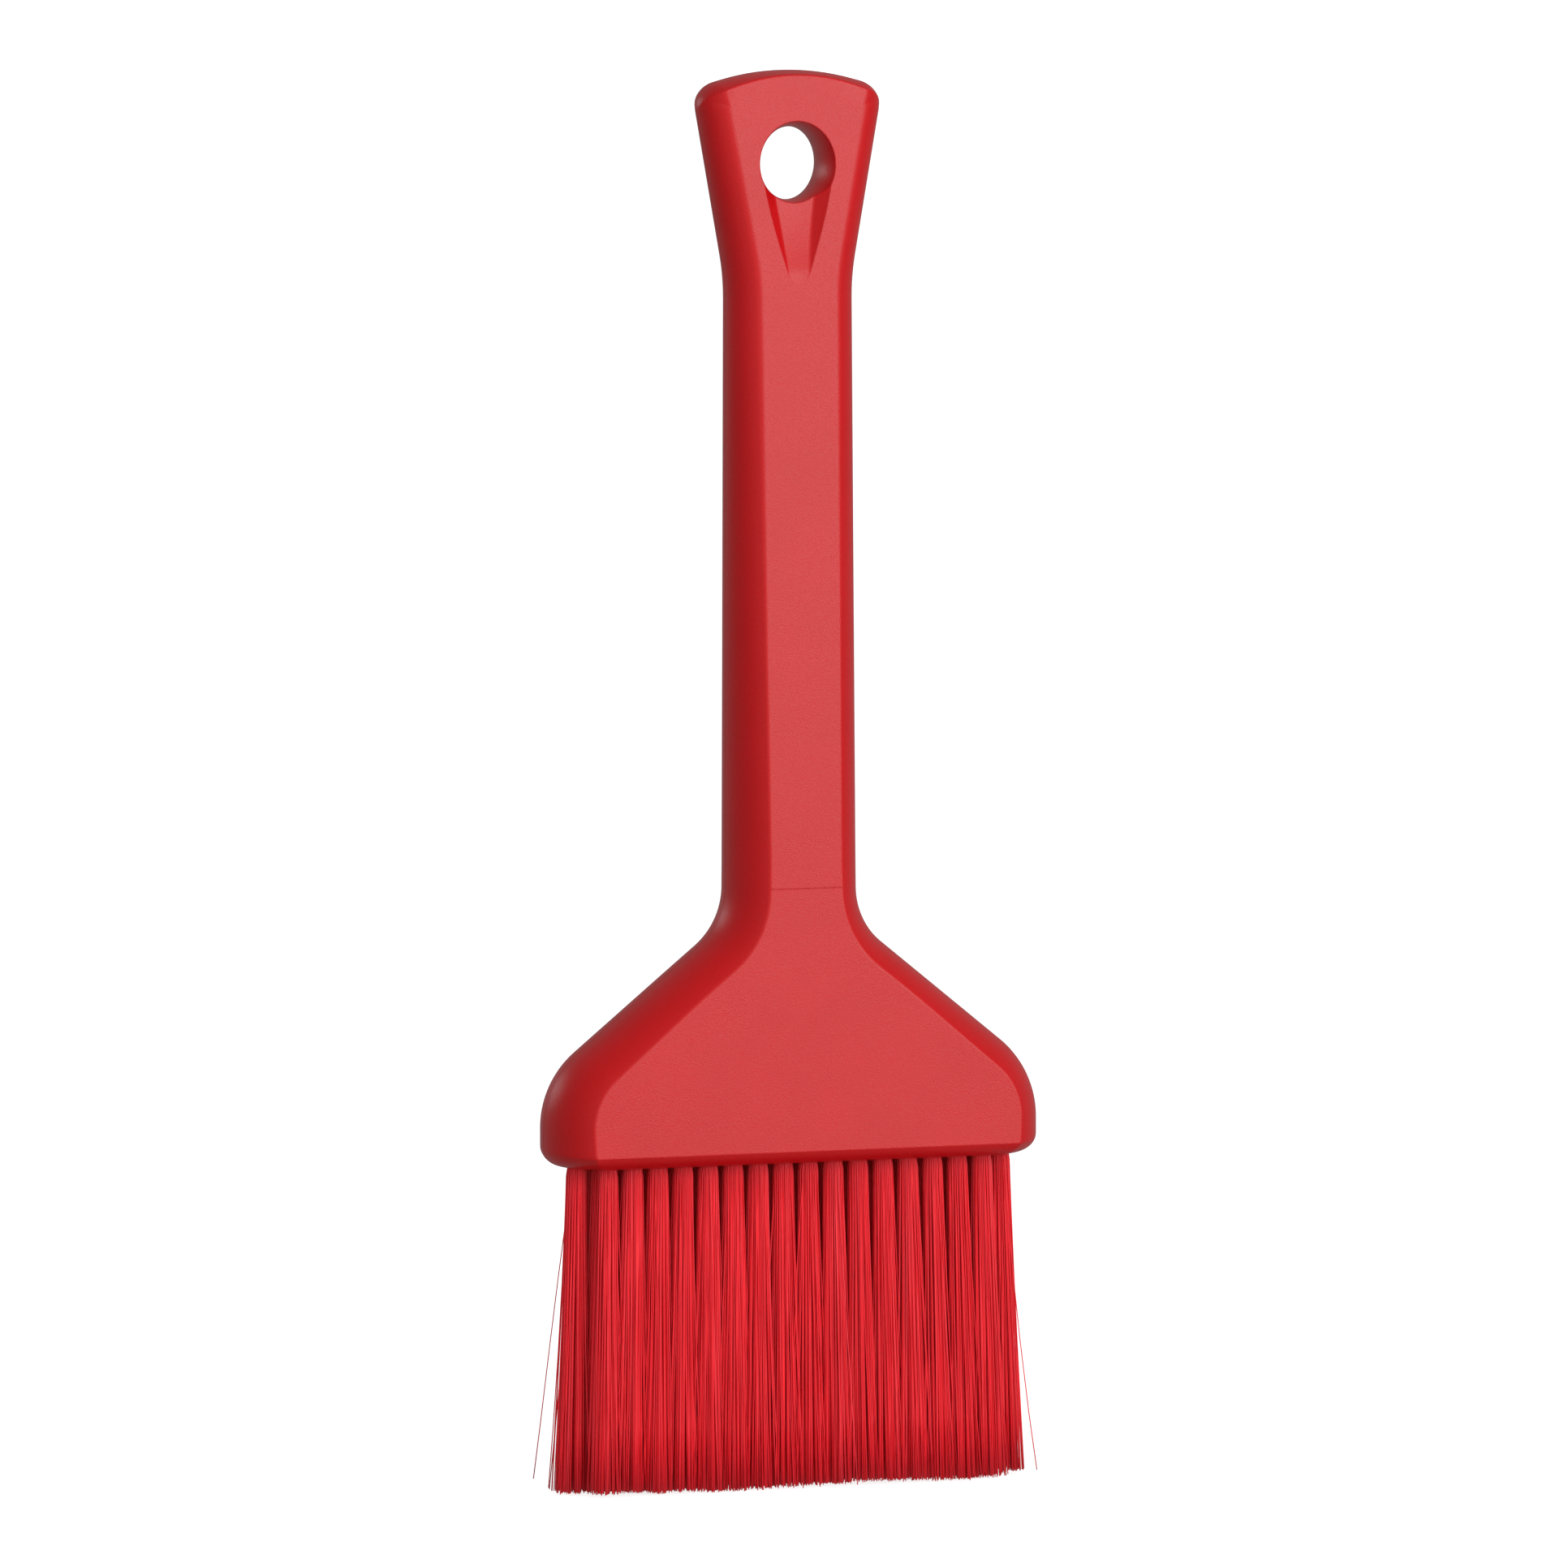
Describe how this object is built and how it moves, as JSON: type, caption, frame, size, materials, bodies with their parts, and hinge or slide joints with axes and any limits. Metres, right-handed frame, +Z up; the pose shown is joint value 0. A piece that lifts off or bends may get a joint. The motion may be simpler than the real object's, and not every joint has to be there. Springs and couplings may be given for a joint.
{
  "type": "pastry brush",
  "caption": "Flat pastry brush: a one-piece moulded plastic handle and wide block, with rows of soft filament tufts in blind holes and a hanging hole in the flared handle end.",
  "frame": {"origin": "under the middle of the block, on the plane of the bristle tips", "axes": "+Z up the handle from the tips to its end, X across the width of the block, +Y out of the back face, -Y out of the front face"},
  "size_m": [0.0738, 0.0202, 0.204],
  "materials": {
    "moulding": "satin, finely grained, moulded polypropylene",
    "filament": "soft polyester filament, glossy along its length",
    "anchor_wire": "drawn stainless wire"
  },
  "bodies": {
    "root": {"handle_block": "moulding", "tuft_front_01": "filament", "tuft_front_02": "filament", "tuft_front_03": "filament", "tuft_front_04": "filament", "tuft_front_05": "filament", "tuft_front_06": "filament", "tuft_front_07": "filament", "tuft_front_08": "filament", "tuft_front_09": "filament", "tuft_front_10": "filament", "tuft_front_11": "filament", "tuft_front_12": "filament", "tuft_front_13": "filament", "tuft_front_14": "filament", "tuft_front_15": "filament", "tuft_front_16": "filament", "tuft_middle_01": "filament", "tuft_middle_02": "filament", "tuft_middle_03": "filament", "tuft_middle_04": "filament", "tuft_middle_05": "filament", "tuft_middle_06": "filament", "tuft_middle_07": "filament", "tuft_middle_08": "filament", "tuft_middle_09": "filament", "tuft_middle_10": "filament", "tuft_middle_11": "filament", "tuft_middle_12": "filament", "tuft_middle_13": "filament", "tuft_middle_14": "filament", "tuft_middle_15": "filament", "tuft_middle_16": "filament", "tuft_middle_17": "filament", "tuft_middle_18": "filament", "tuft_back_01": "filament", "tuft_back_02": "filament", "tuft_back_03": "filament", "tuft_back_04": "filament", "tuft_back_05": "filament", "tuft_back_06": "filament", "tuft_back_07": "filament", "tuft_back_08": "filament", "tuft_back_09": "filament", "tuft_back_10": "filament", "tuft_back_11": "filament", "tuft_back_12": "filament", "tuft_back_13": "filament", "tuft_back_14": "filament", "tuft_back_15": "filament", "tuft_back_16": "filament"}
  },
  "joints": []
}
